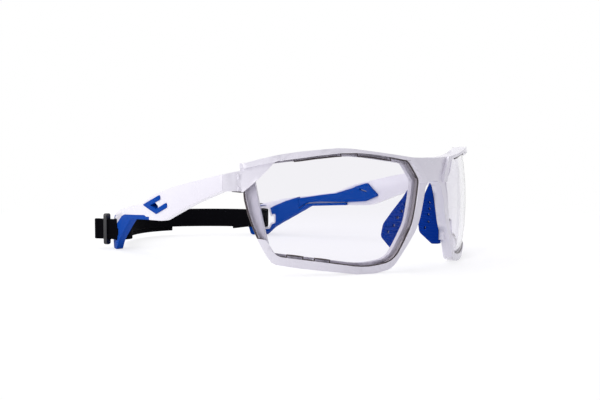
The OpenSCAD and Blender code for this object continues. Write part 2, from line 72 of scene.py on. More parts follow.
camera_data = bpy.data.cameras.new("camera")
camera_data.sensor_width = 36.0
camera_data.lens = 58.38
camera_data.clip_start = 0.01
camera = bpy.data.objects.new("camera", camera_data)
bpy.context.scene.collection.objects.link(camera)
right = Vector((0.69855, -0.71556, 0.0))
up = Vector((0.04572, 0.04463, 0.99796))
back = Vector((-0.71410, -0.69712, 0.06389))
turn = Matrix((right, up, back)).transposed().to_4x4()
camera.matrix_world = Matrix.Translation(place(-303.62, -224.25, 50.51)) @ turn
bpy.context.scene.camera = camera
print("camera at", tuple(round(v, 3) for v in camera.location))

# %% [markdown]
# ## Helpers for working by hand in code
#
# Operators act on whatever is selected, so each step starts by selecting one object alone.

# %% Helpers
SAME_CORNER = 0.002                      # corners nearer than this are one corner, in millimetres
SHARP_EDGE = 28.0                        # edges sharper than this get a bevel, in degrees
SMOOTH_UNDER = 35.0                      # softened faces that meet flatter than this look smooth


def select_only(obj):
    """Leaves edit mode and makes one object the only selected and active one."""
    if bpy.context.object and bpy.context.object.mode != "OBJECT":
        bpy.ops.object.mode_set(mode="OBJECT")
    bpy.ops.object.select_all(action="DESELECT")
    obj.select_set(True)
    bpy.context.view_layer.objects.active = obj


def apply_modifiers(obj):
    """Applies the modifiers in order, so that the piece is a plain mesh."""
    select_only(obj)
    for modifier in list(obj.modifiers):
        bpy.ops.object.modifier_apply(modifier=modifier.name)


def merged_copy(node, flat=1.0):
    """Copies a CAD node, joins equal corners, and joins faces that meet flatter than an angle."""
    obj = nodes[node].copy()
    obj.data = nodes[node].data.copy()
    obj.parent = None
    obj.matrix_world = Matrix.Identity(4)
    obj.name = obj.data.name = node + "_soft"
    bpy.context.scene.collection.objects.link(obj)
    select_only(obj)
    bpy.ops.object.mode_set(mode="EDIT")
    bpy.ops.mesh.select_all(action="SELECT")
    bpy.ops.mesh.remove_doubles(threshold=SAME_CORNER * MM)
    bpy.ops.mesh.dissolve_limited(angle_limit=math.radians(flat))
    bpy.ops.object.mode_set(mode="OBJECT")
    return obj


def soften(obj, edge, segments=2):
    """Rounds the sharp edges by a width in millimetres and smooths the faces between them."""
    bevel = obj.modifiers.new("edges", "BEVEL")
    bevel.width = edge * MM
    bevel.segments = segments
    bevel.limit_method = "ANGLE"
    bevel.angle_limit = math.radians(SHARP_EDGE)
    bevel.use_clamp_overlap = True
    apply_modifiers(obj)
    bpy.ops.object.shade_smooth_by_angle(angle=math.radians(SMOOTH_UNDER))
    print(obj.name, len(obj.data.polygons), "faces")
    return obj


def dress(obj, material, body, *replaced):
    """Gives a piece its finish, lets it ride on a body, and shows it in place of CAD nodes."""
    if material is not None:
        obj.data.materials.clear()
        obj.data.materials.append(material)
    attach(obj, body)
    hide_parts(*replaced)


# %% [markdown]
# ## Finishes from nodes
#
# Each effect that more than one finish uses is a node group with plain inputs and outputs, like a
# small machine: it is wired once, and each material plugs it into its own shader. All of them read
# object coordinates, so the grain has the same real size on every piece.

# %% Node helpers


def new_group(name, inputs, outputs):
    """Makes a node group with its sockets and returns it with its two end nodes."""
    group = bpy.data.node_groups.new(name, "ShaderNodeTree")
    for label, value in inputs:
        kind = "NodeSocketColor" if isinstance(value, tuple) else "NodeSocketFloat"
        socket = group.interface.new_socket(name=label, in_out="INPUT", socket_type=kind)
        socket.default_value = value
    for label, kind in outputs:
        group.interface.new_socket(name=label, in_out="OUTPUT", socket_type="NodeSocket" + kind)
    return group, group.nodes.new("NodeGroupInput"), group.nodes.new("NodeGroupOutput")


def add(tree, kind, name="", values=None, **settings):
    """Adds a node, names it, and fills in its settings and the values of its named inputs."""
    node = tree.nodes.new("ShaderNode" + kind)
    node.label = name
    node.name = name or node.name
    for key, value in settings.items():
        setattr(node, key, value)
    for socket, value in (values or {}).items():
        node.inputs[socket].default_value = value
    return node


def wire(tree, *pairs):
    """Joins output sockets to input sockets, given in pairs."""
    for out_socket, in_socket in pairs:
        tree.links.new(out_socket, in_socket)


def math_node(tree, operation, first, second=0.0):
    """A math node fed by sockets or plain numbers; returns its output."""
    node = add(tree, "Math", operation=operation)
    for i, source in enumerate((first, second)):
        if isinstance(source, (int, float)):
            node.inputs[i].default_value = source
        else:
            tree.links.new(source, node.inputs[i])
    return node.outputs[0]


def colour(red, green, blue):
    """A screen colour, 0 to 255, as the linear colour that a shader wants."""
    linear = [c / 12.92 if c <= 0.04045 else ((c + 0.055) / 1.055) ** 2.4
              for c in (red / 255, green / 255, blue / 255)]
    return (*linear, 1.0)


# %% [markdown]
# Moulded plastic is never perfectly flat. Cooling leaves a slow, shallow wave and a very fine
# grain. The group adds two noises of different size, and lets the fine one vary the gloss too.

# %% Moulded grain group
moulded, ends_in, ends_out = new_group(
    "Moulded grain",
    [("Wave Size", 120.0), ("Grain Size", 2600.0), ("Grain Share", 0.25),
     ("Roughness", 0.25), ("Roughness Change", 0.06)],
    [("Bump Height", "Float"), ("Roughness", "Float")])
place_node = add(moulded, "TexCoord", "Object place")
wave_noise = add(moulded, "TexNoise", "Slow wave", values={"Detail": 2.0})
grain_noise = add(moulded, "TexNoise", "Fine grain", values={"Detail": 4.0})
wire(moulded,
     (place_node.outputs["Object"], wave_noise.inputs["Vector"]),
     (place_node.outputs["Object"], grain_noise.inputs["Vector"]),
     (ends_in.outputs["Wave Size"], wave_noise.inputs["Scale"]),
     (ends_in.outputs["Grain Size"], grain_noise.inputs["Scale"]))
grain_part = math_node(moulded, "MULTIPLY", grain_noise.outputs[0], ends_in.outputs["Grain Share"])
height = math_node(moulded, "ADD", wave_noise.outputs[0], grain_part)
centred = math_node(moulded, "SUBTRACT", grain_noise.outputs[0], 0.5)
change = math_node(moulded, "MULTIPLY", centred, ends_in.outputs["Roughness Change"])
varied = math_node(moulded, "ADD", ends_in.outputs["Roughness"], change)
wire(moulded,
     (height, ends_out.inputs["Bump Height"]),
     (varied, ends_out.inputs["Roughness"]))
print("group:", moulded.name, len(moulded.nodes), "nodes")

# %% [markdown]
# Handling leaves dust and faint smears. This group mixes a colour with a paler one where a
# stretched noise is high, and raises the roughness there as well, because dust is dull.

# %% Handling marks group
handled, ends_in, ends_out = new_group(
    "Handling marks",
    [("Clean Color", (0.8, 0.8, 0.8, 1.0)), ("Mark Color", (0.7, 0.7, 0.7, 1.0)),
     ("Mark Size", 260.0), ("Amount", 0.15), ("Clean Roughness", 0.3), ("Mark Roughness", 0.5)],
    [("Base Color", "Color"), ("Roughness", "Float")])
place_node = add(handled, "TexCoord", "Object place")
mark_noise = add(handled, "TexNoise", "Marks", values={"Detail": 6.0, "Roughness": 0.65})
mark_range = add(handled, "MapRange", "Only the peaks", values={"From Min": 0.52, "From Max": 0.72})
wire(handled,
     (place_node.outputs["Object"], mark_noise.inputs["Vector"]),
     (ends_in.outputs["Mark Size"], mark_noise.inputs["Scale"]),
     (mark_noise.outputs[0], mark_range.inputs["Value"]))
share = math_node(handled, "MULTIPLY", mark_range.outputs["Result"], ends_in.outputs["Amount"])
mix_marks = add(handled, "Mix", "Paler on the marks", data_type="RGBA")
rough_marks = add(handled, "Mix", "Duller on the marks", data_type="FLOAT")
wire(handled,
     (share, mix_marks.inputs["Factor"]),
     (ends_in.outputs["Clean Color"], mix_marks.inputs["A"]),
     (ends_in.outputs["Mark Color"], mix_marks.inputs["B"]),
     (mix_marks.outputs["Result"], ends_out.inputs["Base Color"]),
     (share, rough_marks.inputs["Factor"]),
     (ends_in.outputs["Clean Roughness"], rough_marks.inputs["A"]),
     (ends_in.outputs["Mark Roughness"], rough_marks.inputs["B"]),
     (rough_marks.outputs["Result"], ends_out.inputs["Roughness"]))
print("group:", handled.name, len(handled.nodes), "nodes")

# %% [markdown]
# The strap is an elastic webbing: cords run along it, wrapped by a fine cross thread. The group
# works in the strip's own coordinates, in millimetres along it and across it, and gives a height,
# a colour and a roughness. The colour is darker in the valleys of the weave, which is painted
# shade, and varies at random with the loose fibres. The cords are bands across the strip, the
# cross thread runs over them.

# %% Webbing weave group
woven, ends_in, ends_out = new_group(
    "Webbing weave",
    [("Cord Width", 0.62), ("Thread Width", 0.36), ("Dark Color", (0.0012, 0.0011, 0.002, 1.0)),
     ("Light Color", (0.004, 0.0037, 0.006, 1.0))],
    [("Bump Height", "Float"), ("Base Color", "Color"), ("Roughness", "Float")])
strip_place = add(woven, "UVMap", "Strip place", uv_map="strip")
split = add(woven, "SeparateXYZ", "Along and across")
wire(woven, (strip_place.outputs["UV"], split.inputs[0]))
cord_turn = math_node(woven, "DIVIDE", split.outputs["Y"], ends_in.outputs["Cord Width"])
thread_turn = math_node(woven, "DIVIDE", split.outputs["X"], ends_in.outputs["Thread Width"])
shifted_turn = math_node(woven, "MULTIPLY", math_node(woven, "FLOOR", cord_turn), 0.5)
thread_place = math_node(woven, "ADD", thread_turn, shifted_turn)
cord_wave = math_node(woven, "SINE", math_node(woven, "MULTIPLY", cord_turn, math.pi))
cord_height = math_node(woven, "ABSOLUTE", cord_wave)
thread_wave = math_node(woven, "SINE", math_node(woven, "MULTIPLY", thread_place, math.pi))
thread_height = math_node(woven, "ABSOLUTE", thread_wave)
weave_height = math_node(woven, "MULTIPLY", cord_height, thread_height)
fuzz = add(woven, "TexNoise", "Loose fibres", values={"Scale": 3.0, "Detail": 5.0})
wire(woven, (strip_place.outputs["UV"], fuzz.inputs["Vector"]))
# Painted shade: the valleys of the weave are darker, varied at random by the loose fibres.
shade = math_node(woven, "MULTIPLY", weave_height, fuzz.outputs[0])
mix_thread = add(woven, "Mix", "Painted shade in the valleys", data_type="RGBA")
rough_thread = add(woven, "MapRange", "Fibres are dull", values={"To Min": 0.9, "To Max": 0.62})
fuzz_part = math_node(woven, "MULTIPLY", fuzz.outputs[0], 0.35)
fuzzy_height = math_node(woven, "ADD", weave_height, fuzz_part)
wire(woven,
     (shade, mix_thread.inputs["Factor"]),
     (ends_in.outputs["Dark Color"], mix_thread.inputs["A"]),
     (ends_in.outputs["Light Color"], mix_thread.inputs["B"]),
     (mix_thread.outputs["Result"], ends_out.inputs["Base Color"]),
     (weave_height, rough_thread.inputs["Value"]),
     (rough_thread.outputs["Result"], ends_out.inputs["Roughness"]),
     (fuzzy_height, ends_out.inputs["Bump Height"]))
print("group:", woven.name, len(woven.nodes), "nodes")

# %% [markdown]
# ## The finishes
#
# A finish is a Principled shader with the groups plugged into it. One helper lays the usual pair,
# handling marks for the colour and moulded grain for the surface, because the white plastic, the
# blue rubber, the black keepers and the screws differ only in their numbers.

# %% Finish helper


def new_material(name):
    """An empty material with its Principled shader; returns both and the node tree."""
    material = bpy.data.materials.new(name)
    material.use_nodes = True
    tree = material.node_tree
    return material, tree.nodes["Principled BSDF"], tree


def moulded_finish(name, clean, mark, roughness, dullness, marks, bump, wave=120.0, grain=2600.0,
                   grain_share=0.25, mark_size=260.0):
    """A moulded or turned surface: colour with handling marks, gloss and bump with grain."""
    material, shader, tree = new_material(name)
    marks_node = add(tree, "Group", "Handling marks", node_tree=handled)
    marks_node.inputs["Clean Color"].default_value = clean
    marks_node.inputs["Mark Color"].default_value = mark
    marks_node.inputs["Mark Size"].default_value = mark_size
    marks_node.inputs["Amount"].default_value = marks
    marks_node.inputs["Clean Roughness"].default_value = roughness
    marks_node.inputs["Mark Roughness"].default_value = dullness
    grain_node = add(tree, "Group", "Moulded grain", node_tree=moulded)
    grain_node.inputs["Wave Size"].default_value = wave
    grain_node.inputs["Grain Size"].default_value = grain
    grain_node.inputs["Grain Share"].default_value = grain_share
    bump_node = add(tree, "Bump", "Surface bump", values={"Strength": bump, "Distance": 0.0004})
    wire(tree,
         (marks_node.outputs["Base Color"], shader.inputs["Base Color"]),
         (marks_node.outputs["Roughness"], grain_node.inputs["Roughness"]),
         (grain_node.outputs["Roughness"], shader.inputs["Roughness"]),
         (grain_node.outputs["Bump Height"], bump_node.inputs["Height"]),
         (bump_node.outputs["Normal"], shader.inputs["Normal"]))
    return material, shader, tree


# %% [markdown]
# The white plastic is glossy nylon with a cool, slightly violet cast. The rubber is a saturated
# blue with a soft sheen and a finer grain. Its marks are paler, as dust on rubber is. On the nose
# pads fine slanting ribs keep the glasses from slipping: a wave texture makes them, one rib about
# every 1.2 mm, as bump on top of the grain.

# %% White plastic, blue rubber, black plastic, steel
white_plastic, shader, _ = moulded_finish(
    "White plastic", colour(243, 240, 248), colour(236, 232, 240), 0.26, 0.36, marks=0.3,
    grain_share=0.1, bump=0.01)
shader.inputs["Coat Weight"].default_value = 0.25
shader.inputs["Coat Roughness"].default_value = 0.08

blue_rubber, shader, _ = moulded_finish(
    "Blue rubber", colour(0, 69, 166), colour(4, 81, 178), 0.5, 0.62, marks=0.08, wave=300.0,
    grain=5200.0, grain_share=0.6, bump=0.05)
shader.inputs["Specular IOR Level"].default_value = 0.03

ribbed_rubber, shader, tree = moulded_finish(
    "Ribbed blue rubber", colour(0, 52, 150), colour(8, 64, 162), 0.5, 0.6, marks=0.1,
    wave=300.0, grain=5200.0, grain_share=0.6, bump=0.08)
shader.inputs["Specular IOR Level"].default_value = 0.03
rib_place = add(tree, "TexCoord", "Object place")
rib_turn = add(tree, "Mapping", "Ribs lean", values={"Rotation": (0.0, 0.55, 0.0)})
rib_wave = add(tree, "TexWave", "Ribs", bands_direction="Z", values={"Scale": 262.0})
rib_bump = add(tree, "Bump", "Rib bump", values={"Strength": 0.8, "Distance": 0.0003})
wire(tree,
     (rib_place.outputs["Object"], rib_turn.inputs["Vector"]),
     (rib_turn.outputs["Vector"], rib_wave.inputs["Vector"]),
     (rib_wave.outputs["Fac"], rib_bump.inputs["Height"]),
     (tree.nodes["Surface bump"].outputs["Normal"], rib_bump.inputs["Normal"]),
     (rib_bump.outputs["Normal"], shader.inputs["Normal"]))

black_plastic, _, _ = moulded_finish(
    "Black plastic", colour(30, 29, 33), colour(48, 47, 52), 0.38, 0.55, marks=0.2, bump=0.08)

screw_steel, shader, _ = moulded_finish(
    "Screw steel", colour(190, 190, 194), colour(150, 150, 152), 0.28, 0.45, marks=0.3,
    grain=9000.0, bump=0.05)
shader.inputs["Metallic"].default_value = 1.0
for finish in (white_plastic, blue_rubber, ribbed_rubber, black_plastic, screw_steel):
    print("finish:", finish.name)

# %% [markdown]
# The lenses are clear polycarbonate. Light goes through their faces, but a cut edge gathers the
# light inside the sheet and looks grey, and nearly black along its chamfer. So a lens has a clear
# finish, whose shadow rays pass straight through, a grey one for the faces of the edge, which is
# painted shade, and a dark one for the outline, which is painted shade too. The clear finish bends
# light less than real polycarbonate, so that what lies behind the lens keeps its place and no dark
# rim shows inside the edge.

# %% Lens finishes
clear_lens, shader, tree = new_material("Clear lens")
shader.inputs["Base Color"].default_value = colour(242, 241, 245)
shader.inputs["IOR"].default_value = 1.15
shader.inputs["Transmission Weight"].default_value = 1.0
passing = add(tree, "BsdfTransparent", "Clear shadow")
passing.inputs["Color"].default_value = (0.72, 0.71, 0.75, 1.0)
ray_kind = add(tree, "LightPath", "Kind of ray")
choice = add(tree, "MixShader", "Shadow rays pass")
smear_place = add(tree, "TexCoord", "Object place")
smear_noise = add(tree, "TexNoise", "Faint smears", values={"Scale": 60.0, "Detail": 3.0})
smear_rough = add(tree, "MapRange", "Smears are a little dull",
                  values={"From Min": 0.45, "From Max": 0.8, "To Min": 0.0, "To Max": 0.06})
wire(tree,
     (smear_place.outputs["Object"], smear_noise.inputs["Vector"]),
     (smear_noise.outputs[0], smear_rough.inputs["Value"]),
     (smear_rough.outputs["Result"], shader.inputs["Roughness"]),
     (ray_kind.outputs["Is Shadow Ray"], choice.inputs[0]),
     (shader.outputs[0], choice.inputs[1]),
     (passing.outputs[0], choice.inputs[2]),
     (choice.outputs[0], tree.nodes["Material Output"].inputs["Surface"]))

# The grey of the edge faces is painted shade, standing in for the light caught inside the clear sheet.
lens_edge, _, _ = moulded_finish(
    "Lens edge painted shade", colour(186, 179, 185), colour(160, 153, 158), 0.3, 0.5, marks=0.5, grain=7000.0,
    bump=0.1, mark_size=420.0)
# The outline finish is painted shade: a nearly black bead stands in for the dark chamfer of the edge.
painted_shade_finish, _, _ = moulded_finish(
    "Lens outline painted shade", colour(62, 50, 54), colour(88, 76, 80), 0.3, 0.5, marks=0.4, bump=0.05)
print("lens finishes:", clear_lens.name, lens_edge.name, painted_shade_finish.name)

# %% [markdown]
# The webbing finish takes its height, its colour with painted shade in the valleys, and its
# roughness from the weave group.

# %% Webbing finish
black_webbing, shader, tree = new_material("Black webbing")
weave_node = add(tree, "Group", "Webbing weave", node_tree=woven)
bump_node = add(tree, "Bump", "Weave bump", values={"Strength": 0.55, "Distance": 0.00012})
wire(tree,
     (weave_node.outputs["Base Color"], shader.inputs["Base Color"]),
     (weave_node.outputs["Roughness"], shader.inputs["Roughness"]),
     (weave_node.outputs["Bump Height"], bump_node.inputs["Height"]),
     (bump_node.outputs["Normal"], shader.inputs["Normal"]))
shader.inputs["Specular IOR Level"].default_value = 0.04
print("finish:", black_webbing.name)

# %% [markdown]
# ## The front frame
#
# The front is one injection moulding in white plastic: both rims, the bridge, the brow ridges and
# the end pieces come out of one mould. A mould never makes a knife edge, so a copy of the solid
# gets a small bevel, applied as a modifier, on every edge sharper than 28 degrees.

# %% Front frame
front = soften(merged_copy("front_frame"), 0.35)
dress(front, white_plastic, "front", "front_frame")

# %% [markdown]
# ## The lenses
#
# Each lens is cut from a curved clear sheet. Its broad faces look along the head's radius and its
# edge faces look along the sheet, so the direction of a face tells which finish it takes. The short
# walls of the vents, at the top and the bottom of the lens, stay clear, as polished cuts do.

# %% Lenses
WRAP_R = 72.6                            # radius of the front seen from above, in millimetres
LEAN_R, LEAN_Z = 119, 24                 # radius seen from the side, and the height of its middle
BROAD = 0.75                             # a broad face looks out of or into the sheet more than this
UPRIGHT = 0.5                            # an upright wall looks up or down less than this
VENTS_UNDER, VENTS_OVER = 8, 36          # the vents lie below the first height and above the second


def outward_share(face):
    """How far a face looks out of the curved sheet: 1 outward, 0 along the sheet, -1 inward."""
    outward = face.center - place(0, WRAP_R, LEAN_Z)
    outward.z *= WRAP_R / LEAN_R
    return face.normal.dot(outward.normalized())


def paint_edge_shade(obj):
    """Gives the second material slot, grey painted shade, to the faces of the cut edge, and counts
    them.
    """
    count = 0
    for face in obj.data.polygons:
        halfway = VENTS_UNDER * MM < face.center.z < VENTS_OVER * MM
        vent = abs(face.normal.z) < UPRIGHT and not halfway
        if abs(outward_share(face)) < BROAD and not vent:
            face.material_index = 1
            count += 1
    return count


lenses = {}
for side in ("right", "left"):
    lens = merged_copy(side + "_lens", flat=0.05)
    lens.data.materials.clear()
    lens.data.materials.append(clear_lens)
    lens.data.materials.append(lens_edge)
    print(lens.name, "edge faces:", paint_edge_shade(lens), "of", len(lens.data.polygons))
    select_only(lens)
    bpy.ops.object.shade_smooth_by_angle(angle=math.radians(30.0))
    dress(lens, None, "front", side + "_lens")
    lenses[side] = lens

# %% [markdown]
# From the front, the chamfer of the cut edge shows as a thin dark line round each lens, which is
# shade; here it is a dark bead of painted shade. The line is taken from the lens itself: the outer
# face is selected, its outline is copied out as a loop of edges, and the loop becomes a curve with a
# round section, which sits half sunk in the edge.

# %% Dark edge lines of painted shade
LINE_R = 0.3                             # radius of the dark line, in millimetres
LINE_STEP = 0.35                         # points of the outline nearer than this are joined


def painted_shade_line(lens, side):
    """Copies the outline of a lens's outer face and gives it a round section: a bead of painted shade.
    """
    select_only(lens)
    bpy.ops.object.mode_set(mode="EDIT")
    bpy.ops.mesh.select_mode(type="FACE")
    bpy.ops.mesh.select_all(action="DESELECT")
    bpy.ops.object.mode_set(mode="OBJECT")
    lens.data.polygons.foreach_set("select", [outward_share(f) > BROAD for f in lens.data.polygons])
    bpy.ops.object.mode_set(mode="EDIT")
    bpy.ops.mesh.region_to_loop()
    bpy.ops.mesh.duplicate()
    bpy.ops.mesh.separate(type="SELECTED")
    bpy.ops.object.mode_set(mode="OBJECT")
    line = [o for o in bpy.context.selected_objects if o != lens][0]
    line.name = line.data.name = side + "_lens_edge_line"
    select_only(line)
    bpy.ops.object.mode_set(mode="EDIT")
    bpy.ops.mesh.select_all(action="SELECT")
    bpy.ops.mesh.remove_doubles(threshold=LINE_STEP * MM)
    bpy.ops.object.mode_set(mode="OBJECT")
    bpy.ops.object.convert(target="CURVE")
    line.data.bevel_depth = LINE_R * MM
    line.data.bevel_resolution = 2
    bpy.ops.object.convert(target="MESH")
    bpy.ops.object.shade_smooth_by_angle(angle=math.radians(60.0))
    line.data.materials.clear()
    line.data.materials.append(painted_shade_finish)
    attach(line, "front")
    print(line.name, len(line.data.polygons), "faces")


for side in ("right", "left"):
    painted_shade_line(lenses[side], side)

# %% [markdown]
# ## The rubber pieces
#
# Rubber is moulded too. Its pieces are smaller and thinner than the white ones, so they take a
# finer bevel. The open arrow of the temple pad shows through a window of the temple, so its
# corners are rounded on both pieces: outward ones on the pad, inward ones in the window. They are
# found by their place, their direction and how sharply the faces turn at them.

# %% Nose pads, temple pads and tip covers
ARROW_OUT, ARROW_LOW = 61.0, 20.0        # the arrow's corners lie further out and higher than this
ARROW_DEEP = 2.4                         # and their edges are longer than this, in millimetres
ARROW_ACROSS = 0.9                       # and run across the temple by more than this share
ARROW_SHARP = 60.0                       # the corners turn by more than this, in degrees
ARROW_ROUND = 0.85                       # how far the rounding reaches from a corner, in millimetres


def round_arrow(obj, outward):
    """Rounds the arrow's ends and point: outward corners on a pad, inward ones on a temple."""
    select_only(obj)
    bpy.ops.object.mode_set(mode="EDIT")
    bpy.ops.mesh.select_mode(type="EDGE")
    bpy.ops.mesh.select_all(action="DESELECT")
    mesh = bmesh.from_edit_mesh(obj.data)
    for edge in mesh.edges:
        a, b = (corner.co for corner in edge.verts)
        length = edge.calc_length()
        across = length > ARROW_DEEP * MM and abs(a.x - b.x) > ARROW_ACROSS * length
        there = max(abs(a.x), abs(b.x)) > ARROW_OUT * MM and a.z > ARROW_LOW * MM
        sharp = edge.calc_face_angle(0.0) > math.radians(ARROW_SHARP) and edge.is_convex == outward
        edge.select_set(across and there and sharp)
    chosen = sum(edge.select for edge in mesh.edges)
    bmesh.update_edit_mesh(obj.data)
    bpy.ops.mesh.bevel(offset=ARROW_ROUND * MM, segments=4, affect="EDGES")
    bpy.ops.object.mode_set(mode="OBJECT")
    print(obj.name, "arrow corners rounded:", chosen)


for side in ("right", "left"):
    arm = side + "_arm"
    pad = soften(merged_copy(side + "_nose_pad"), 0.14)
    dress(pad, ribbed_rubber, "front", side + "_nose_pad")
    temple_pad = merged_copy(side + "_temple_pad")
    round_arrow(temple_pad, outward=True)
    soften(temple_pad, 0.1)
    dress(temple_pad, blue_rubber, arm, side + "_temple_pad")
    cover = soften(merged_copy(side + "_tip_cover"), 0.15)
    dress(cover, blue_rubber, arm, side + "_tip_cover")

# %% [markdown]
# ## The temples, keepers and screws
#
# A temple is a thin curved bar of the same white plastic. The keeper is a small black slide that
# holds the doubled strap, and the hinge screw is turned steel with a slotted head.

# %% Temples, keepers and screws
for side in ("right", "left"):
    arm = side + "_arm"
    temple = merged_copy(side + "_temple")
    round_arrow(temple, outward=False)
    soften(temple, 0.3)
    dress(temple, white_plastic, arm, side + "_temple")
    keeper = soften(merged_copy(side + "_strap_keeper"), 0.22, segments=3)
    dress(keeper, black_plastic, side + "_keeper", side + "_strap_keeper")
    screw = soften(merged_copy(side + "_hinge_screw"), 0.08)
    dress(screw, screw_steel, "front", side + "_hinge_screw")

# %% [markdown]
# ## The elastic strap
#
# The strap is one webbing. On each side it comes from behind, passes out through the slot of the
# temple, turns back round a small loop, and lies doubled on itself; the keeper holds both layers.
# It is drawn as a path in plan with two layers, and a rounded strip is swept along the path.

# %% Strap path
STRAP_W, STRAP_T = 9.2, 0.8              # width and thickness of the webbing, in millimetres
STRAP_Z = 4.4                            # height of its lower edge above the table
LAYER_HALF = 0.45                        # half the distance between the middles of the two layers
HINGE_X, SEAM_Y = 68.6, 44.801           # where the temple's outer face starts, seen from above
TEMPLE_R = 235.0                         # radius of that face
SLOT_BACK = 97.4                         # distance from its start straight back to the slot
SLOT_TURN = math.asin(SLOT_BACK / TEMPLE_R)
TIP_T, STRAP_GAP = 3.17, 3.0             # thickness of the tip, and gap between it and the strap
DOUBLE_HALF = 0.85                       # half the thickness of the doubled strap
INNER_V = TIP_T + STRAP_GAP + DOUBLE_HALF
BEND_R = 3.4                             # radius of the bend that takes the strap to the slot
MOUTH = 1.6                              # distance from the slot's middle back to the outer loop
LOOP_ANGLE = math.radians(44)            # angle of the outer loop to the temple
LOOP_LEN, LOOP_R = 10.8, 0.9             # length of the outer loop, and radius of its round end
LOOP_ROUND = 130                         # half of the angle that this end turns through, in degrees
LOOP_NECK = 2.6                          # the two layers part this many radii before the end
LEAD = 11.0                              # straight length of the strap behind the slot
BACK_Y = SEAM_Y + 132.2                  # middle of the back
LEAD_PULL, BACK_PULL = 12.0, 16.0        # reach of the curve at the straight part and at the middle
NEARLY_MIDDLE = 0.9998                   # the two halves end just short of touching each other


def slot_place(u, v):
    """A point u along the temple from the slot and v inward from its outer face, in plan."""
    c, s = math.cos(SLOT_TURN), math.sin(SLOT_TURN)
    return Vector((HINGE_X - TEMPLE_R + TEMPLE_R * c - u * s - v * c,
                   SEAM_Y + SLOT_BACK + u * c - v * s))


def loop_point(along, off):
    """A point on the outer loop, along it from the temple's face and off to its side."""
    c, s = math.cos(LOOP_ANGLE), math.sin(LOOP_ANGLE)
    return slot_place(MOUTH + along * c + off * s, -along * s + off * c)


def slot_part():
    """Middle line of the doubled strap from the loop in through the slot, round its bend."""
    centre_v = INNER_V - BEND_R
    touch_v = centre_v - BEND_R * math.cos(LOOP_ANGLE)
    touch_u = MOUTH - touch_v / math.tan(LOOP_ANGLE)
    centre_u = touch_u + BEND_R * math.sin(LOOP_ANGLE)
    points = [loop_point(LOOP_LEN - LOOP_NECK * LOOP_R, 0)]
    steps = 16
    for i in range(steps + 1):
        a = math.radians(90) + LOOP_ANGLE + (math.pi - LOOP_ANGLE) * i / steps
        points.append(slot_place(centre_u + BEND_R * math.cos(a), centre_v - BEND_R * math.sin(a)))
    return points


def sweep_part(finish):
    """From the straight part behind the slot towards the middle of the back, and past it."""
    start = slot_place(LEAD, INNER_V)
    along = Vector((-math.sin(SLOT_TURN), math.cos(SLOT_TURN)))
    points = []
    steps = 48
    last = math.ceil(finish * steps)
    for i in range(last + 1):
        t = min(i / steps, finish)
        s = 2 - t if t > 1 else t
        p = ((1 - s) ** 3 * start + 3 * (1 - s) ** 2 * s * (start + LEAD_PULL * along)
             + 3 * (1 - s) * s * s * Vector((BACK_PULL, BACK_Y)) + s ** 3 * Vector((0.0, BACK_Y)))
        points.append(Vector((-p.x, p.y)) if t > 1 else p)
    return points


def moved_aside(points, offset):
    """The line moved to its left by an offset, corner by corner."""
    moved = []
    for i, p in enumerate(points):
        before = (points[max(i, 1)] - points[max(i, 1) - 1]).normalized()
        after = (points[min(i, len(points) - 2) + 1] - points[min(i, len(points) - 2)]).normalized()
        n1, n2 = Vector((-before.y, before.x)), Vector((-after.y, after.x))
        moved.append(p + offset * (n1 + n2) / (1 + n1.dot(n2)))
    return moved


def strap_path(tail):
    """The path of one half: free layer, loop, main layer; and how many points the free one has."""
    tail_layer = moved_aside(slot_part() + sweep_part(tail), -LAYER_HALF)
    main_layer = moved_aside(slot_part() + sweep_part(NEARLY_MIDDLE), LAYER_HALF)
    loop = []
    steps = 20
    for i in range(steps + 1):
        a = math.radians(LOOP_ROUND - 2 * LOOP_ROUND * i / steps)
        loop.append(loop_point(LOOP_LEN - LOOP_R + LOOP_R * math.cos(a), LOOP_R * math.sin(a)))
    return list(reversed(tail_layer)) + loop + main_layer, len(tail_layer)


RIGHT_TAIL, LEFT_TAIL = 1.22, 0.14       # where the free ends lie, 1 is the middle of the back
print("path points:", [len(strap_path(t)[0]) for t in (RIGHT_TAIL, LEFT_TAIL)])

# %% [markdown]
# The cross section is a flat strip with round selvedges. The free layer isn't sewn to the other
# one, so it hangs a little lower between the slot and its end. Each row of points also stores how
# far along the strip it lies, and each point its height, both in millimetres. The weave is drawn
# with these two.

# %% Section and rows of the strip


def strip_section():
    """Points round the strip's section: offset across its thickness, and height."""
    r = STRAP_T / 2
    rows, turns = 12, 6
    side = [(r, r + (STRAP_W - 2 * r) * i / rows) for i in range(rows + 1)]
    for i in range(1, turns):
        a = math.pi * i / turns
        side.append((r * math.cos(a), STRAP_W - r + r * math.sin(a)))
    return side + [(-off, STRAP_W - height) for off, height in side]


def evenly(points, step):
    """The same line with points about one step apart, and the length up to each."""
    length = [0.0]
    for a, b in zip(points, points[1:]):
        length.append(length[-1] + (b - a).length)
    count = max(2, round(length[-1] / step))
    even, k = [], 0
    for i in range(count + 1):
        want = length[-1] * i / count
        while k < len(points) - 2 and length[k + 1] < want:
            k += 1
        span = length[k + 1] - length[k]
        even.append((points[k].lerp(points[k + 1], (want - length[k]) / span), want))
    return even


print("points round the strip:", len(strip_section()))

# %% Strip object


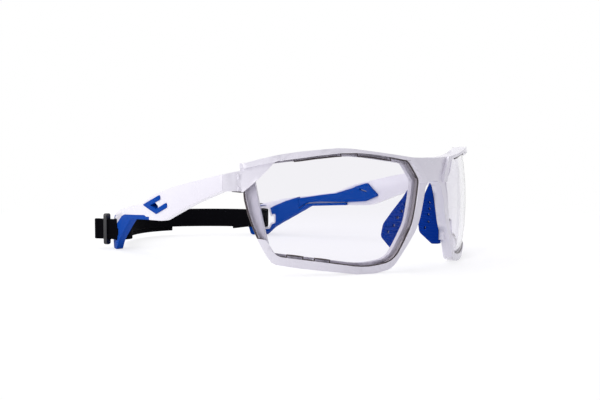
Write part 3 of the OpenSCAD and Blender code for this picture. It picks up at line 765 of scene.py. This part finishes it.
def strip_object(name, rows, lengths, heights):
    """Joins rows of points into a closed strip; its UV map holds each point's length and height."""
    mesh = bmesh.new()
    strip = mesh.loops.layers.uv.new("strip")
    rows = [[mesh.verts.new(point) for point in row] for row in rows]
    for i in range(len(rows) - 1):
        for k in range(len(heights)):
            m = (k + 1) % len(heights)
            corners = [(i, k), (i + 1, k), (i + 1, m), (i, m)]
            face = mesh.faces.new([rows[row][at] for row, at in corners])
            for loop, (row, at) in zip(face.loops, corners):
                loop[strip].uv = (lengths[row], heights[at])
    for end in (0, -1):
        cap = mesh.faces.new(rows[end])
        for loop in cap.loops:
            loop[strip].uv = (lengths[end], STRAP_W / 2)
    bmesh.ops.recalc_face_normals(mesh, faces=mesh.faces)
    data = bpy.data.meshes.new(name)
    mesh.to_mesh(data)
    mesh.free()
    piece = bpy.data.objects.new(name, data)
    bpy.context.scene.collection.objects.link(piece)
    select_only(piece)
    bpy.ops.object.shade_smooth_by_angle(angle=math.radians(50.0))
    data.materials.append(black_webbing)
    return piece


# %% Strap piece
STEP = 0.6                               # distance between two rows of points
HELD = 22.0                              # the free layer is held this far from the loop
EASED = 14.0                             # and hangs fully this much further on


def hang(along, tail_length, sag_near, sag_end):
    """How far the strip hangs at a length along it: up to one sag at its end, another near the slot."""
    loose = tail_length - HELD
    free = max(0.0, min(1.0, (loose - along) / EASED))
    free = free * free * (3 - 2 * free)
    return free * (sag_end + (sag_near - sag_end) * min(1.0, along / max(loose, 1.0)))


def strap_piece(name, tail, sag_near, sag_end, mirrored):
    """Sweeps the strip along the path of one half, with its free layer hanging."""
    points, tail_count = strap_path(tail)
    tail_length = sum((b - a).length for a, b in zip(points[:tail_count], points[1:tail_count + 1]))
    line = evenly(points, STEP)
    ring = strip_section()
    rows = []
    for i, (p, along) in enumerate(line):
        ahead = line[min(i + 1, len(line) - 1)][0] - line[max(i - 1, 0)][0]
        side = Vector((-ahead.y, ahead.x)).normalized()
        low = STRAP_Z - hang(along, tail_length, sag_near, sag_end)
        row = []
        for off, height in ring:
            q = p + side * off
            x = -q.x if mirrored else q.x
            row.append(place(x, q.y, low + height))
        rows.append(row)
    piece = strip_object(name, rows, [along for _, along in line], [height for _, height in ring])
    print(name, len(piece.data.polygons), "faces,", round(line[-1][1]), "mm long")
    return piece


# %% [markdown]
# The free end of the right half reaches past the middle of the back, and that of the left half
# ends close behind its slot.

# %% Both halves of the strap
right_strap = strap_piece("right_strap_half_woven", RIGHT_TAIL, sag_near=2.8, sag_end=2.0,
                          mirrored=True)
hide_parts("right_strap_half")
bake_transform(right_strap)
left_strap = strap_piece("left_strap_half_woven", LEFT_TAIL, sag_near=2.0, sag_end=1.4,
                         mirrored=False)
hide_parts("left_strap_half")
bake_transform(left_strap)

# %% [markdown]
# ## Table, world and lamps
#
# The picture has a plain white ground. Near the glasses the table is half lit by the lamps, which
# keeps their soft shadow, and a glow makes up what the lamps leave below white. Further out it is
# plain white. A share of the glow also lights the glasses from below. The world is white only
# where the camera sees it, directly, through a lens or in a mirror, and dimmer for everything
# that it lights.

# %% Table
TABLE_LIT = 0.72                         # how bright the lamps alone make the table
BOUNCE = 0.25                            # share of its glow that lights the glasses from below
TABLE_W, TABLE_DROP = 6.0, 0.00005       # its width, and its drop below the glasses, in metres


def seen_share(tree):
    """1 where the camera sees a point directly, through glass or mirrored, and 0 for other rays."""
    ray = add(tree, "LightPath", "Kind of ray")
    seen = math_node(tree, "MAXIMUM", ray.outputs["Is Camera Ray"], ray.outputs["Is Transmission Ray"])
    seen = math_node(tree, "MAXIMUM", seen, ray.outputs["Is Glossy Ray"])
    lit = math_node(tree, "MINIMUM", ray.outputs["Diffuse Depth"], 1.0)
    return math_node(tree, "MULTIPLY", seen, math_node(tree, "SUBTRACT", 1.0, lit))


table, shader, tree = new_material("White table")
shader.inputs["Base Color"].default_value = (0.94, 0.94, 0.95, 1.0)
shader.inputs["Roughness"].default_value = 0.7
shader.inputs["Specular IOR Level"].default_value = 0.1
plain = add(tree, "Emission", "Plain white")
table_place = add(tree, "TexCoord", "Object place")
distance = add(tree, "VectorMath", "Distance from the glasses", operation="LENGTH")
fade = add(tree, "MapRange", "White further out",
           values={"From Min": 0.12, "From Max": 0.30, "To Min": 0.55, "To Max": 1.0})
glow_share = fade.outputs["Result"]
lit = math_node(tree, "MULTIPLY", math_node(tree, "SUBTRACT", 1.0, glow_share), TABLE_LIT)
glow = math_node(tree, "DIVIDE", math_node(tree, "SUBTRACT", 1.0, lit), glow_share)
glowing = math_node(tree, "MAXIMUM", seen_share(tree), BOUNCE)
share = math_node(tree, "MULTIPLY", glow_share, glowing)
mix_table = add(tree, "MixShader", "Table and white")
wire(tree,
     (table_place.outputs["Object"], distance.inputs[0]),
     (distance.outputs["Value"], fade.inputs["Value"]),
     (glow, plain.inputs["Strength"]),
     (share, mix_table.inputs[0]),
     (shader.outputs[0], mix_table.inputs[1]),
     (plain.outputs[0], mix_table.inputs[2]),
     (mix_table.outputs[0], tree.nodes["Material Output"].inputs["Surface"]))
bpy.ops.mesh.primitive_plane_add(size=TABLE_W, location=(0, 0, -TABLE_DROP))
floor = bpy.context.object
floor.name = "Table"
floor.data.materials.append(table)
print("table:", floor.name, TABLE_W, "m wide")

# %% World
world = bpy.data.worlds.new("Studio")
bpy.context.scene.world = world
world.use_nodes = True
tree = world.node_tree
dim = tree.nodes["Background"]
dim.inputs["Color"].default_value = (0.93, 0.92, 1.0, 1.0)
dim.inputs["Strength"].default_value = 0.5
bright = add(tree, "Background", "White ground", values={"Strength": 1.0})
bright.inputs["Color"].default_value = (1.0, 1.0, 1.0, 1.0)
mix_world = add(tree, "MixShader", "Seen or lighting")
wire(tree,
     (seen_share(tree), mix_world.inputs[0]),
     (dim.outputs[0], mix_world.inputs[1]),
     (bright.outputs[0], mix_world.inputs[2]),
     (mix_world.outputs[0], tree.nodes["World Output"].inputs["Surface"]))
print("world:", world.name)

# %% [markdown]
# One large soft lamp hangs above and behind. A smaller one stands on the wearer's right and keeps
# the near temple bright. Nothing stands in front, so the faces of the rims stay grey, as in the
# photo.

# %% Lamps


def soft_lamp(name, where, aim, size, energy):
    """A square area lamp in metres, turned to look at a point."""
    data = bpy.data.lights.new(name, "AREA")
    data.size = size
    data.energy = energy
    lamp = bpy.data.objects.new(name, data)
    lamp.location = where
    lamp.rotation_euler = (Vector(aim) - lamp.location).to_track_quat("-Z", "Y").to_euler()
    bpy.context.scene.collection.objects.link(lamp)


soft_lamp("Overhead", (-0.15, 0.30, 0.9), (0, 0, 0), 0.9, 4.2)
soft_lamp("Wearer's right", (-0.9, 0.22, 0.35), (0, 0, 0.02), 0.6, 2.8)
bpy.context.scene.view_settings.view_transform = "Standard"
